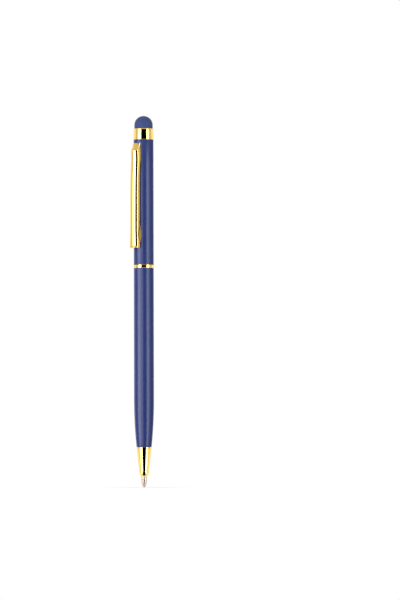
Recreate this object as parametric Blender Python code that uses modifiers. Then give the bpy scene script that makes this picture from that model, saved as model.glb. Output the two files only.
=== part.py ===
"""Slim twist-action ballpoint pen with a rubber stylus dome on its top end.

Units are metres and +Z runs up the pen, so the writing point is at the bottom. The origin lies on the
pen's long axis, level with the lobes that the clip grips a pocket with. The clip is on the -Y side.
The pen stands as it is used, with its point out. Turning the upper half about +Z, as seen from the
stylus end anticlockwise, winds the refill up into the nose.
"""

import math

import bmesh
import bpy
from mathutils import Matrix, Vector

MM = 0.001

# Clearances
FIT = 0.04 * MM  # radial, pieces that are pressed or screwed together
RUNNING = 0.05 * MM  # radial, pieces that turn or slide on each other
SEAT = 0.05 * MM  # axial, faces that meet
TURN_GAP = 0.12 * MM  # axial, between the two halves that turn on each other

# Edges and facets
CHAMFER = 0.12 * MM
SEGMENTS = 32
PIN_SEGMENTS = 16
BALL_SEGMENTS = 20
ARC_STEPS = 8
MERGE = 1e-7
FLAT = math.radians(0.1)  # faces closer than this are one flat face
SHARP = math.radians(40)  # edges sharper than this stay sharp in smooth shading
CUT_PAST = 1.0 * MM  # how far a cutter reaches past the wall that it cuts

# Refill
BALL_D = 1.0 * MM
BALL_PAST_RIM = 0.32 * MM  # how much of the ball shows below the tip's rim
TIP_D = 1.9 * MM
TIP_CONE = 1.35 * MM
TIP_LIP = 0.07 * MM
TIP_INSERT = 4.0 * MM
INK_CANAL_D = 0.6 * MM
TUBE_D = 3.0 * MM
TUBE_WALL = 0.25 * MM
TUBE_NECK = 5.0 * MM
TUBE_SWAGE = 1.5 * MM
PLUG_STEP = 0.3 * MM  # the plug's threaded end is this much thinner than the tube, on the radius
PLUG_SHOULDER = 3.0 * MM
PLUG_SPIGOT = 4.0 * MM
THREAD_LENGTH = 5.0 * MM
INK_HEADROOM = 16.0 * MM  # empty tube above the ink

# Refill travel
POINT_OUT = 4.05 * MM
POINT_HIDDEN = 1.1 * MM
TWIST = math.radians(180.0)

# Nose cone
NOSE_LENGTH = 10.6 * MM
NOSE_MOUTH_D = 3.1 * MM
MOUTH_CLEAR = 0.1 * MM
MOUTH_LAND = 1.8 * MM
MOUTH_CONE = 0.5 * MM
STOP_GAP = 0.5 * MM
NOSE_SPIGOT = 4.5 * MM
NOSE_BORE_CLEAR = 0.2 * MM

# Barrels and band
BARREL_WALL = 0.4 * MM
LOWER_LENGTH = 65.3 * MM
TAPER_LENGTH = 17.6 * MM
TAPER_IN = 0.9 * MM  # how much the radius drops along the taper
BAND_LENGTH = 1.1 * MM
BAND_PROUD = 0.08 * MM

# Twist mechanism
CARRIER_WALL = 0.61 * MM
CARRIER_FLOOR = 0.7 * MM  # between the thread's end and the pin
CARRIER_TOP = 1.7 * MM  # above the pin's axis
PIN_D = 1.0 * MM
SLEEVE_WALL = 0.45 * MM
SLEEVE_PRESS = 10.0 * MM  # held in the lower barrel
JOURNAL_LENGTH = 4.0 * MM  # the upper barrel turns on this
SHANK_LENGTH = 7.5 * MM
ROTOR_WALL = 0.4 * MM
ROTOR_RIM = 1.2 * MM
COLLAR_FOOT = 0.5 * MM
COLLAR_LENGTH = 6.0 * MM
COLLAR_WALL = 0.37 * MM
COLLAR_TO_PIN = 2.4 * MM
COLLAR_GROOVES = 8
GROOVE_WIDTH = 1.1 * MM
GROOVE_DEPTH = 0.17 * MM
RING_LENGTH = 1.0 * MM
SLOT_END_CLEAR = 0.15 * MM

# Clip lock and ferrule
HEAD_ROOM = 5.0 * MM  # above the mechanism, for the refill carrier to rise into
LOCK_LENGTH = 10.0 * MM
LOCK_BORE_D = 2.4 * MM
FERRULE_LENGTH = 4.1 * MM
FERRULE_SPIGOT = 2.5 * MM
FERRULE_PROUD = 0.06 * MM
FERRULE_TAPER = 0.23 * MM  # how much its radius drops towards the dome
FERRULE_RIM = 0.12 * MM  # how far the rim stands out from the dome

# Stylus dome
DOME_STRAIGHT = 1.3 * MM
DOME_WALL = 0.75 * MM
SKIRT_STEP = 0.36 * MM
SKIRT_LENGTH = 3.0 * MM
CORE_ABOVE = 0.8 * MM
CORE_EDGE = 0.4 * MM

# Clip
CLIP_LENGTH = 38.2 * MM
CLIP_WIDTH = 3.5 * MM
CLIP_SHEET = 0.45 * MM
CLIP_CROWN = 0.75 * MM  # radius of its two long outer edges
CROWN_STEPS = 3
CLIP_SEAT = 0.05 * MM  # gap between the clip and the barrel that it bears on
TOE_LENGTH = 3.6 * MM  # above the barrel's slot
TOE_SLOPE = 2.7 * MM
KNEE_DROP = 11.0 * MM  # from the shoulder to the bend below which the arm runs nearly straight
CLIP_RISE_TOP = 1.62 * MM  # outer face above the barrel, at the shoulder
CLIP_RISE_KNEE = 1.9 * MM  # the same at the bend
CLIP_RISE_END = 2.08 * MM  # the same at the free end
CLIP_DEPTH = 1.8 * MM  # side wall along the arm
END_FLARE = 0.18 * MM
END_FLARE_LENGTH = 1.1 * MM
LOBE_HEIGHT = 5.0 * MM  # above the free end
LOBE_LENGTH = 6.8 * MM
LOBE_BITE = 0.3 * MM  # the lobes are drawn this deep and then cut to the barrel's curve
EAR_LENGTH = 2.4 * MM  # in the slot, along the pen
EAR_SLOPE = 2.9 * MM
EAR_HEEL = 0.8 * MM  # the ear narrows by this much between the slot and its hook
HOOK_LENGTH = 1.9 * MM  # behind the wall above the slot
HOOK_DEPTH = 0.45 * MM
HOOK_ROOM = 0.3 * MM  # room to move out when the clip is lifted
HOOK_CLEAR = 0.1 * MM
SLOT_LENGTH = 6.7 * MM
SLOT_CLEAR = 0.2 * MM
SLOT_CORNER = 1.2 * MM
SLOT_BELOW_LOCK = 2.4 * MM

# Radii, from the refill outwards
ball_r = BALL_D / 2
tip_r = TIP_D / 2
tube_r = TUBE_D / 2
tube_bore_r = tube_r - TUBE_WALL
neck_bore_r = tip_r + FIT
neck_r = neck_bore_r + TUBE_WALL
thread_r = tube_r - PLUG_STEP
pin_r = PIN_D / 2
carrier_r = thread_r + FIT + CARRIER_WALL
sleeve_bore_r = carrier_r + RUNNING
sleeve_r = sleeve_bore_r + SLEEVE_WALL
rotor_bore_r = sleeve_r + RUNNING
rotor_r = rotor_bore_r + ROTOR_WALL
collar_bore_r = rotor_r + FIT
collar_r = collar_bore_r + COLLAR_WALL
barrel_bore_r = collar_r + FIT
barrel_r = barrel_bore_r + BARREL_WALL
plug_r = barrel_bore_r - FIT  # whatever is pressed into a barrel
barrel_tip_r = barrel_r - TAPER_IN
barrel_tip_bore_r = barrel_tip_r - BARREL_WALL
nose_mouth_r = NOSE_MOUTH_D / 2
band_r = barrel_r + BAND_PROUD
ferrule_foot_r = barrel_r + FERRULE_PROUD
ferrule_top_r = ferrule_foot_r - FERRULE_TAPER
dome_r = ferrule_top_r - FERRULE_RIM
skirt_r = dome_r - SKIRT_STEP
core_r = skirt_r - DOME_WALL - FIT
clip_seat_r = barrel_r + CLIP_SEAT

# Heights above the nose's mouth, fixed pieces first
travel = POINT_OUT + POINT_HIDDEN
lower_foot = NOSE_LENGTH + SEAT
lower_top = lower_foot + LOWER_LENGTH
band_foot = lower_top + SEAT
band_top = band_foot + BAND_LENGTH
upper_foot = band_top + TURN_GAP
sleeve_foot = lower_top - SLEEVE_PRESS
journal_top = band_top + JOURNAL_LENGTH
shank_top = journal_top + SHANK_LENGTH
rotor_foot = shank_top + SEAT
collar_foot = rotor_foot + COLLAR_FOOT
collar_top = collar_foot + COLLAR_LENGTH
pin_level = collar_top + COLLAR_TO_PIN
rotor_top = pin_level + travel + pin_r + ROTOR_RIM
ring_foot = rotor_top + SEAT
ring_top = ring_foot + RING_LENGTH
lock_foot = ring_top + HEAD_ROOM
lock_top = lock_foot + LOCK_LENGTH
ferrule_spigot_foot = lock_top + SEAT
upper_top = ferrule_spigot_foot + FERRULE_SPIGOT
ferrule_foot = upper_top + SEAT
ferrule_top = ferrule_foot + FERRULE_LENGTH
dome_foot = ferrule_top + SEAT

# Heights of the refill with the point out
tube_foot = MOUTH_LAND + MOUTH_CONE + STOP_GAP
neck_top = tube_foot + TUBE_NECK
swage_top = neck_top + TUBE_SWAGE
ball_level = ball_r - POINT_OUT
carrier_foot = pin_level - pin_r - CARRIER_FLOOR - THREAD_LENGTH
plug_shoulder_top = carrier_foot - SEAT
tube_top = plug_shoulder_top - PLUG_SHOULDER - SEAT

# Heights of the clip
slot_top = lock_top - SLOT_BELOW_LOCK
slot_foot = slot_top - SLOT_LENGTH
toe_top = slot_top + TOE_LENGTH
clip_foot = toe_top - CLIP_LENGTH
lobe_level = clip_foot + LOBE_HEIGHT
datum = lobe_level

# Clip outline, as distances from the pen's axis
clip_half = CLIP_WIDTH / 2
slot_width = CLIP_WIDTH + 2 * SLOT_CLEAR
hook_outer = math.sqrt((barrel_bore_r - HOOK_CLEAR) ** 2 - clip_half**2) - HOOK_ROOM
hook_inner = hook_outer - HOOK_DEPTH
toe_outer = clip_seat_r + CLIP_SHEET
shoulder = toe_top - TOE_SLOPE
clip_stations = [
    (toe_top, toe_outer),
    (shoulder, barrel_r + CLIP_RISE_TOP),
    (shoulder - KNEE_DROP, barrel_r + CLIP_RISE_KNEE),
    (clip_foot + END_FLARE_LENGTH, barrel_r + CLIP_RISE_END),
    (clip_foot, barrel_r + CLIP_RISE_END + END_FLARE),
]


def clear_scene():
    for obj in list(bpy.data.objects):
        bpy.data.objects.remove(obj)


def collection(name):
    made = bpy.data.collections.new(name)
    bpy.context.scene.collection.children.link(made)
    return made


def finish(name, colour, roughness, metallic):
    """A material with one colour, roughness and metallic value."""
    made = bpy.data.materials.new(name)
    made.use_nodes = True
    shader = made.node_tree.nodes["Principled BSDF"]
    shader.inputs["Base Color"].default_value = (*colour, 1.0)
    shader.inputs["Roughness"].default_value = roughness
    shader.inputs["Metallic"].default_value = metallic
    return made


def empty(name, location, parent=None):
    made = bpy.data.objects.new(name, None)
    made.location = location
    made.parent = parent
    parts.objects.link(made)
    return made


def at(height):
    """The point of the pen's axis at this height above the nose's mouth."""
    return Vector((0, 0, height - datum))


def add(name, mesh, material, parent, location):
    """A part of the pen, its mesh drawn from its own origin, at a place in the pen's frame."""
    made = bpy.data.objects.new(name, mesh)
    made.location = Vector(location) - (parent.location if parent else Vector())
    made.parent = parent
    mesh.materials.append(material)
    parts.objects.link(made)
    return made


def add_cutter(name, mesh, location=(0, 0, 0)):
    made = bpy.data.objects.new(name, mesh)
    made.location = location
    made.hide_render = True
    made.display_type = "WIRE"
    cutters.objects.link(made)
    return made


def cut(obj, cutter):
    modifier = obj.modifiers.new(f"Cut {cutter.name}", "BOOLEAN")
    modifier.operation = "DIFFERENCE"
    modifier.object = cutter


def profile_mesh(name, profile, closed):
    """The (radius, height) points of a turned shape as a line of edges in the XZ plane."""
    mesh = bpy.data.meshes.new(name)
    edges = [(i, i + 1) for i in range(len(profile) - 1)]
    if closed:
        edges.append((len(profile) - 1, 0))
    mesh.from_pydata([(r, 0, z) for r, z in profile], edges, [])
    return mesh


def screw(obj, segments, angle=math.tau, rise=0.0):
    modifier = obj.modifiers.new("Turn", "SCREW")
    modifier.angle = angle
    modifier.screw_offset = rise
    modifier.steps = modifier.render_steps = segments
    modifier.use_merge_vertices = angle == math.tau and rise == 0.0
    modifier.merge_threshold = MERGE
    modifier.use_smooth_shade = True


def turned(name, profile, material, parent, height, closed=True, segments=SEGMENTS):
    """A turned part. Its profile runs down the outer side and, on a tube, back up the bore."""
    obj = add(name, profile_mesh(name, profile, closed), material, parent, at(height))
    screw(obj, segments)
    return obj


def tube_profile(outer, bore, length, chamfer=CHAMFER):
    """A plain tube whose outer edges are chamfered."""
    return [
        (outer - chamfer, length),
        (outer, length - chamfer),
        (outer, chamfer),
        (outer - chamfer, 0),
        (bore, 0),
        (bore, length),
    ]


def baked(obj):
    """The evaluated mesh of an object, its doubles merged, its open ends filled and facing out."""
    graph = bpy.context.evaluated_depsgraph_get()
    mesh = bpy.data.meshes.new_from_object(obj.evaluated_get(graph))
    work = bmesh.new()
    work.from_mesh(mesh)
    bmesh.ops.remove_doubles(work, verts=work.verts, dist=MERGE)
    bmesh.ops.dissolve_limit(work, angle_limit=FLAT, verts=work.verts, edges=work.edges)
    bmesh.ops.holes_fill(work, edges=work.edges)
    bmesh.ops.recalc_face_normals(work, faces=work.faces)
    work.to_mesh(mesh)
    work.free()
    return mesh


def box_mesh(name, size, centre):
    mesh = bpy.data.meshes.new(name)
    work = bmesh.new()
    place = Matrix.Translation(centre) @ Matrix.Diagonal((*size, 1))
    bmesh.ops.create_cube(work, size=1.0, matrix=place)
    work.to_mesh(mesh)
    work.free()
    return mesh


def rod_mesh(name, radius, length, segments):
    """A round rod along X, centred on the origin."""
    mesh = bpy.data.meshes.new(name)
    work = bmesh.new()
    bmesh.ops.create_cone(
        work,
        cap_ends=True,
        segments=segments,
        radius1=radius,
        radius2=radius,
        depth=length,
        matrix=Matrix.Rotation(math.pi / 2, 4, "Y"),
    )
    work.to_mesh(mesh)
    work.free()
    return mesh


def arc(centre, radius, start, end, steps):
    """Points of an arc from one angle to another, both in radians."""
    turns = [start + (end - start) * i / steps for i in range(steps + 1)]
    return [(centre[0] + radius * math.cos(a), centre[1] + radius * math.sin(a)) for a in turns]


def taper_radius(height):
    """Outer radius of the lower barrel, which curves in towards the nose on one long arc."""
    down = max(0.0, TAPER_LENGTH - height)
    sweep = (TAPER_IN**2 + TAPER_LENGTH**2) / (2 * TAPER_IN)
    return barrel_r - sweep + math.sqrt(sweep**2 - down**2)


# Pieces of the lower half


def make_nose_cone():
    spigot_r = barrel_tip_bore_r - FIT
    neck_way_r = neck_r + RUNNING
    tube_way_r = tube_r + NOSE_BORE_CLEAR
    mouth_bore_r = tip_r + MOUTH_CLEAR
    spigot_top = NOSE_LENGTH + NOSE_SPIGOT
    slope = (barrel_tip_r - nose_mouth_r) / NOSE_LENGTH
    profile = [
        (spigot_r - CHAMFER, spigot_top),
        (spigot_r, spigot_top - CHAMFER),
        (spigot_r, NOSE_LENGTH),
        (barrel_tip_r, NOSE_LENGTH),
        (nose_mouth_r + slope * CHAMFER, CHAMFER),
        (nose_mouth_r - CHAMFER, 0),
        (mouth_bore_r, 0),
        (mouth_bore_r, MOUTH_LAND),
        (neck_way_r, MOUTH_LAND + MOUTH_CONE),
        (neck_way_r, neck_top),
        (tube_way_r, neck_top + tube_way_r - neck_way_r),
        (tube_way_r, spigot_top),
    ]
    return turned("nose_cone", profile, gold, lower_half, 0)


def make_lower_barrel():
    inner_step = NOSE_SPIGOT + STOP_GAP
    outer = [
        (taper_radius(h), h)
        for h in [TAPER_LENGTH * (1 - i / ARC_STEPS) for i in range(ARC_STEPS + 1)]
    ]
    inner_heights = [
        inner_step + (TAPER_LENGTH - inner_step) * i / ARC_STEPS for i in range(ARC_STEPS + 1)
    ]
    inner = [(taper_radius(h) - BARREL_WALL, h) for h in inner_heights]
    profile = [
        (barrel_r - CHAMFER, LOWER_LENGTH),
        (barrel_r, LOWER_LENGTH - CHAMFER),
        *outer,
        (barrel_tip_bore_r, 0),
        (barrel_tip_bore_r, inner_step),
        *inner,
        (barrel_bore_r, LOWER_LENGTH),
    ]
    return turned("lower_barrel", profile, lacquer, lower_half, lower_foot)


def make_centre_band():
    profile = tube_profile(band_r, plug_r + FIT, BAND_LENGTH)
    return turned("centre_band", profile, gold, lower_half, band_foot)


def make_guide_sleeve():
    """The fixed half of the twist mechanism: pressed into the lower barrel, slotted for the pin."""
    top = ring_top - sleeve_foot
    shank = shank_top - sleeve_foot
    journal = journal_top - sleeve_foot
    profile = [
        (sleeve_r, top),
        (sleeve_r, shank),
        (rotor_r, shank),
        (rotor_r, journal),
        (plug_r - CHAMFER, journal),
        (plug_r, journal - CHAMFER),
        (plug_r, CHAMFER),
        (plug_r - CHAMFER, 0),
        (sleeve_bore_r, 0),
        (sleeve_bore_r, top),
    ]
    sleeve = turned("guide_sleeve", profile, brass, lower_half, sleeve_foot)
    reach = pin_r + SLOT_END_CLEAR
    size = (2 * (sleeve_r + CUT_PAST), 2 * (pin_r + RUNNING), travel + 2 * reach)
    middle = at(pin_level + travel / 2)
    cut(sleeve, add_cutter("pin_slot_cutter", box_mesh("pin_slot_cutter", size, middle)))
    return sleeve


def make_retaining_ring():
    profile = tube_profile(rotor_r, sleeve_r + FIT, RING_LENGTH)
    return turned("retaining_ring", profile, steel, lower_half, ring_foot)


# Pieces of the upper half


def make_upper_barrel():
    profile = tube_profile(barrel_r, barrel_bore_r, upper_top - upper_foot)
    barrel = turned("upper_barrel", profile, lacquer, upper_half, upper_foot)
    cut(barrel, make_slot_cutter())
    return barrel


def make_slot_cutter():
    """Cuts the clip's slot through the -Y side of the wall, its foot rounded."""
    depth = barrel_r + CUT_PAST
    mesh = box_mesh(
        "clip_slot_cutter",
        (slot_width, depth, SLOT_LENGTH),
        Vector((0, -depth / 2, (slot_top + slot_foot) / 2 - datum)),
    )
    work = bmesh.new()
    work.from_mesh(mesh)
    foot = at(slot_foot).z + SLOT_CLEAR
    corners = [
        e
        for e in work.edges
        if all(v.co.z < foot for v in e.verts) and abs(e.verts[0].co.x - e.verts[1].co.x) < SEAT
    ]
    bmesh.ops.bevel(
        work,
        geom=corners,
        offset=SLOT_CORNER,
        segments=CROWN_STEPS,
        profile=0.5,
        affect="EDGES",
    )
    work.to_mesh(mesh)
    work.free()
    return add_cutter("clip_slot_cutter", mesh)


def make_helix_sleeve():
    """The turning half of the twist mechanism. Two helical slots lift the pin as it turns."""
    profile = tube_profile(rotor_r, rotor_bore_r, rotor_top - rotor_foot)
    sleeve = turned("helix_sleeve", profile, brass, upper_half, rotor_foot)
    for side in range(2):
        cut(sleeve, make_helix_cutter(f"helix_cutter_{side + 1}", side * math.pi))
    return sleeve


def make_helix_cutter(name, turn):
    """One slot: a block swept along the pin's path, wide enough for the pin all the way."""
    lead = travel / TWIST
    slant = math.hypot(1.0, lead / rotor_bore_r)
    half = pin_r * slant + RUNNING
    low, high = rotor_bore_r - CUT_PAST / 2, rotor_r + CUT_PAST
    over = math.asin(pin_r / rotor_bore_r) + RUNNING / rotor_bore_r
    sweep = TWIST + 2 * over
    block = [(low, half), (high, half), (high, -half), (low, -half)]
    path = bpy.data.objects.new(name, profile_mesh(name, block, True))
    cutters.objects.link(path)
    screw(path, SEGMENTS, -sweep, lead * sweep)
    bpy.context.view_layer.update()
    mesh = baked(path)
    bpy.data.objects.remove(path)
    cutter = add_cutter(name, mesh, at(pin_level - lead * over))
    cutter.rotation_euler.z = turn + over
    return cutter


def make_drive_collar():
    """A ribbed plastic collar, by which the upper barrel grips the helix sleeve and turns it."""
    profile = tube_profile(collar_r, collar_bore_r, COLLAR_LENGTH)
    collar = turned("drive_collar", profile, white_plastic, upper_half, collar_foot)
    grooves = bpy.data.meshes.new("groove_cutter")
    work = bmesh.new()
    size = (2 * GROOVE_DEPTH, GROOVE_WIDTH, COLLAR_LENGTH + 2 * CUT_PAST)
    for i in range(COLLAR_GROOVES):
        turn = Matrix.Rotation(math.tau * i / COLLAR_GROOVES, 4, "Z")
        out = Matrix.Translation((collar_r, 0, COLLAR_LENGTH / 2))
        bmesh.ops.create_cube(work, size=1.0, matrix=turn @ out @ Matrix.Diagonal((*size, 1)))
    work.to_mesh(grooves)
    work.free()
    cut(collar, add_cutter("groove_cutter", grooves, at(collar_foot)))
    return collar


def make_clip_lock():
    """A plastic insert behind the slot, with a channel that the clip's hooks lie in."""
    profile = tube_profile(plug_r, LOCK_BORE_D / 2, LOCK_LENGTH)
    lock = turned("clip_lock", profile, black_plastic, upper_half, lock_foot)
    floor = hook_inner - HOOK_CLEAR
    depth = plug_r + CUT_PAST - floor
    low = slot_top - EAR_LENGTH - EAR_SLOPE / 2
    high = lock_top + CUT_PAST
    size = (slot_width, depth, high - low)
    middle = Vector((0, -floor - depth / 2, (low + high) / 2 - datum))
    cut(lock, add_cutter("hook_channel_cutter", box_mesh("hook_channel_cutter", size, middle)))
    return lock


def make_ferrule():
    spigot = FERRULE_SPIGOT
    top = spigot + SEAT + FERRULE_LENGTH
    step = spigot + SEAT
    skirt_foot = top - SKIRT_LENGTH - SEAT
    profile = [
        (ferrule_top_r - CHAMFER, top),
        (ferrule_top_r, top - CHAMFER),
        (ferrule_foot_r, step + CHAMFER),
        (ferrule_foot_r - CHAMFER, step),
        (plug_r, step),
        (plug_r, CHAMFER),
        (plug_r - CHAMFER, 0),
        (core_r + FIT, 0),
        (core_r + FIT, skirt_foot),
        (skirt_r + FIT, skirt_foot),
        (skirt_r + FIT, top),
    ]
    return turned("ferrule", profile, gold, upper_half, ferrule_spigot_foot)


def make_stylus_dome():
    """A hollow rubber dome with a shoulder on the ferrule's rim and a skirt inside it."""
    springing = DOME_STRAIGHT
    inside = dome_r - DOME_WALL
    skirt_bore = core_r + FIT
    outer = arc((0, springing), dome_r, math.pi / 2, 0, ARC_STEPS)
    inner = arc((0, springing), inside, 0, math.pi / 2, ARC_STEPS)
    profile = [
        *outer,
        (dome_r, 0),
        (skirt_r, 0),
        (skirt_r, -SKIRT_LENGTH),
        (skirt_bore, -SKIRT_LENGTH),
        (skirt_bore, springing - (inside - skirt_bore)),
        *inner,
    ]
    return turned("stylus_dome", profile, rubber, upper_half, dome_foot, closed=False)


def make_dome_core():
    top = dome_foot + CORE_ABOVE - ferrule_spigot_foot
    profile = [
        (0, top),
        (core_r - CORE_EDGE, top),
        (core_r, top - CORE_EDGE),
        (core_r, 0),
        (0, 0),
    ]
    return turned("dome_core", profile, brass, upper_half, ferrule_spigot_foot, closed=False)


# The clip


def flat_outline(name, points, thickness):
    """A flat plate cut to an outline of (distance from the axis, height) points, across the clip."""
    curve = bpy.data.curves.new(name, "CURVE")
    curve.dimensions = "2D"
    curve.fill_mode = "BOTH"
    curve.extrude = thickness / 2
    spline = curve.splines.new("POLY")
    spline.points.add(len(points) - 1)
    for point, (out, height) in zip(spline.points, points):
        point.co = (out, height, 0, 1)
    spline.use_cyclic_u = True
    plate = bpy.data.objects.new(name, curve)
    cutters.objects.link(plate)
    bpy.context.view_layer.update()
    mesh = baked(plate)
    bpy.data.objects.remove(plate)
    mesh.transform(Matrix(((0, 0, -1, 0), (-1, 0, 0, 0), (0, 1, 0, 0), (0, 0, 0, 1))))
    return mesh


def clip_line(height, inside=0.0):
    """How far the clip's outer face is from the pen's axis at a height, less a depth below it."""
    pairs = list(zip(clip_stations, clip_stations[1:]))
    (top, top_outer), (foot, foot_outer) = next(
        (pair for pair in pairs if height >= pair[1][0]), pairs[-1]
    )
    return top_outer + (foot_outer - top_outer) * (top - height) / (top - foot) - inside


def lobe_edge():
    """The side walls' edge at the lobes, a hump towards the barrel, from its foot upwards."""
    low, high = lobe_level - LOBE_LENGTH / 2, lobe_level + LOBE_LENGTH / 2
    apex = math.sqrt(clip_seat_r**2 - clip_half**2) - LOBE_BITE / 2
    points = []
    for i in range(2 * ARC_STEPS + 1):
        height = low + (high - low) * i / (2 * ARC_STEPS)
        base = clip_line(height, CLIP_DEPTH)
        share = (1 - math.cos(math.tau * i / (2 * ARC_STEPS))) / 2
        points.append((base + (apex - base) * share, height))
    return points


def make_clip():
    """A pressed channel: a toe on the barrel, ears and hooks in its slot, and a long sprung arm."""
    ear_top = slot_top - SLOT_CLEAR
    ear_foot = ear_top - EAR_LENGTH
    toe_inner = math.sqrt(clip_seat_r**2 - clip_half**2)
    outline = [
        *[(outer, height) for height, outer in clip_stations],
        (clip_line(clip_foot, CLIP_DEPTH), clip_foot),
        *lobe_edge(),
        (clip_line(ear_foot - EAR_SLOPE, CLIP_DEPTH), ear_foot - EAR_SLOPE),
        (toe_inner, ear_foot),
        (hook_inner, ear_foot + EAR_HEEL),
        (hook_inner, slot_top + HOOK_LENGTH),
        (hook_outer, slot_top + HOOK_LENGTH),
        (hook_outer, ear_top),
        (toe_inner, ear_top),
        (toe_inner, toe_top),
    ]
    pivot = Vector((0, -clip_seat_r, toe_top - datum))
    mesh = flat_outline("clip", [(u, z - datum) for u, z in outline], CLIP_WIDTH)
    mark_crown(mesh)
    mesh.transform(Matrix.Translation(-pivot))
    clip = add("clip", mesh, gold, clip_pivot, pivot)
    crown = clip.modifiers.new("Crown", "BEVEL")
    crown.limit_method = "WEIGHT"
    crown.width = CLIP_CROWN
    crown.segments = CROWN_STEPS
    cut(clip, make_channel_cutter())
    cut(clip, make_saddle_cutter("lobe_saddle_cutter", clip_foot - CUT_PAST, slot_foot))
    cut(clip, make_saddle_cutter("toe_saddle_cutter", ear_top + SEAT, toe_top + CUT_PAST))
    return clip


def mark_crown(mesh):
    """Marks the two long edges of the clip's outer face for rounding."""
    weights = mesh.attributes.new("bevel_weight_edge", "FLOAT", "EDGE")
    for edge in mesh.edges:
        ends = [mesh.vertices[i].co for i in edge.vertices]
        lengthwise = abs(ends[0].x - ends[1].x) < SEAT
        outside = all(abs(-p.y - clip_line(p.z + datum)) < SEAT for p in ends)
        weights.data[edge.index].value = 1.0 if lengthwise and outside else 0.0


def make_channel_cutter():
    """Hollows the clip to the thickness of its sheet, open towards the barrel."""
    deep = hook_inner - CUT_PAST
    floor = clip_foot + CLIP_SHEET
    heights = [toe_top + CUT_PAST, *[height for height, _ in clip_stations[1:-1]], floor]
    outline = [(clip_line(h, CLIP_SHEET), h - datum) for h in heights]
    outline += [(deep, floor - datum), (deep, toe_top + CUT_PAST - datum)]
    mesh = flat_outline("channel_cutter", outline, CLIP_WIDTH - 2 * CLIP_SHEET)
    return add_cutter("channel_cutter", mesh)


def make_saddle_cutter(name, low, high):
    """Trims the clip's side walls to the curve of the barrel between two heights."""
    inside = barrel_bore_r - HOOK_CLEAR
    ring = [
        (clip_seat_r, high - low),
        (clip_seat_r, 0),
        (inside, 0),
        (inside, high - low),
    ]
    cutter = add_cutter(name, profile_mesh(name, ring, True), at(low))
    screw(cutter, SEGMENTS)
    return cutter


# Pieces of the refill


def make_refill_carrier():
    """Slides in the guide sleeve. The refill screws into its foot, and the pin drives it."""
    length = pin_level + CARRIER_TOP - carrier_foot
    socket = THREAD_LENGTH + SEAT
    profile = [
        (0, length),
        (carrier_r - CHAMFER, length),
        (carrier_r, length - CHAMFER),
        (carrier_r, CHAMFER),
        (carrier_r - CHAMFER, 0),
        (thread_r + FIT, 0),
        (thread_r + FIT, socket),
        (0, socket),
    ]
    carrier = turned("refill_carrier", profile, white_plastic, refill, carrier_foot, closed=False)
    hole = rod_mesh("pin_hole_cutter", pin_r + FIT, 2 * (carrier_r + CUT_PAST), PIN_SEGMENTS)
    cut(carrier, add_cutter("pin_hole_cutter", hole, at(pin_level)))
    return carrier


def make_drive_pin():
    mesh = rod_mesh("drive_pin", pin_r, 2 * (rotor_r - SEAT), PIN_SEGMENTS)
    mesh.shade_smooth()
    mesh.set_sharp_from_angle(angle=SHARP)
    return add("drive_pin", mesh, steel, refill, at(pin_level))


def make_refill_plug():
    spigot_r = tube_bore_r - FIT
    shoulder = PLUG_SPIGOT + PLUG_SHOULDER
    top = shoulder + SEAT + THREAD_LENGTH
    profile = [
        (0, top),
        (thread_r - CHAMFER, top),
        (thread_r, top - CHAMFER),
        (thread_r, shoulder),
        (tube_r, shoulder),
        (tube_r, PLUG_SPIGOT),
        (spigot_r, PLUG_SPIGOT),
        (spigot_r, CHAMFER),
        (spigot_r - CHAMFER, 0),
        (0, 0),
    ]
    foot = tube_top + SEAT - PLUG_SPIGOT
    return turned("refill_plug", profile, black_plastic, refill, foot, closed=False)


def make_refill_tube():
    length = tube_top - tube_foot
    swage_foot = neck_top - tube_foot
    swage_end = swage_top - tube_foot
    profile = [
        (tube_r, length),
        (tube_r, swage_end),
        (neck_r, swage_foot),
        (neck_r, 0),
        (neck_bore_r, 0),
        (neck_bore_r, swage_foot),
        (tube_bore_r, swage_end),
        (tube_bore_r, length),
    ]
    return turned("refill_tube", profile, steel, refill, tube_foot)


def make_ink():
    """The ink fills the tube's bore, from above the neck to a little under the plug."""
    top = tube_top - INK_HEADROOM
    profile = [
        (0, top - swage_top),
        (tube_bore_r - FIT, top - swage_top),
        (tube_bore_r - FIT, 0),
        (0, 0),
    ]
    return turned("ink_column", profile, ink, refill, swage_top, closed=False)


def make_refill_tip():
    """The metal point: a cone with a rolled lip round the ball and a canal for the ink."""
    seat_r = ball_r + RUNNING
    rim = ball_r - BALL_PAST_RIM
    lip_r = math.sqrt(seat_r**2 - rim**2)
    top = tube_foot + TIP_INSERT - ball_level
    canal_r = INK_CANAL_D / 2
    start = math.asin(-rim / seat_r)
    end = math.acos(canal_r / seat_r)
    profile = [
        (tip_r, top),
        (tip_r, TIP_CONE - rim),
        (lip_r + TIP_LIP, -rim),
        *arc((0, 0), seat_r, start, end, ARC_STEPS),
        (canal_r, top),
    ]
    return turned("refill_tip", profile, nickel, refill, ball_level, segments=BALL_SEGMENTS)


def make_writing_ball():
    mesh = bpy.data.meshes.new("writing_ball")
    work = bmesh.new()
    bmesh.ops.create_uvsphere(
        work, u_segments=BALL_SEGMENTS, v_segments=BALL_SEGMENTS // 2, radius=ball_r
    )
    work.to_mesh(mesh)
    work.free()
    mesh.shade_smooth()
    return add("writing_ball", mesh, steel, refill, at(ball_level))


clear_scene()
parts = collection("stylus_ballpoint_pen")
cutters = collection("cutters")

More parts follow.
